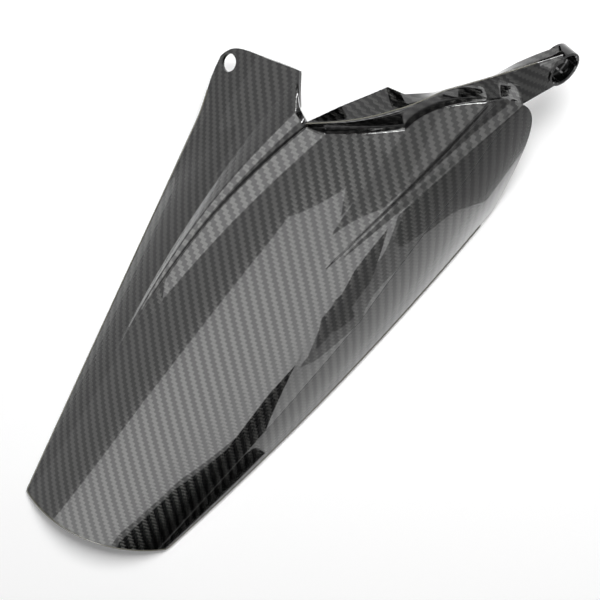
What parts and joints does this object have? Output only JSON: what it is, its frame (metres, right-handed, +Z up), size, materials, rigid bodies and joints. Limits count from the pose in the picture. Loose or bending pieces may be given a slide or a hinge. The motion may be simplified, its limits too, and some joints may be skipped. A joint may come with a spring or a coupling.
{
  "type": "motorcycle rear hugger fender",
  "caption": "One-piece rear hugger fender of a motorcycle: arched carbon-fibre shell with raised creases, a side tab with a bore and a forward lug with a bolt well.",
  "frame": {"origin": "centre of the left tab's bore, on the shell's outer face", "axes": "+Y forwards along the shell, from the narrow tail to the lug; +X to the right; +Z up, out of the crown"},
  "size_m": [0.1791, 0.4067, 0.068],
  "materials": {
    "carbon_shell": "clear-coated black carbon fibre in 2x2 twill, high gloss"
  },
  "bodies": {
    "root": {"fender_shell": "carbon_shell"}
  },
  "joints": []
}
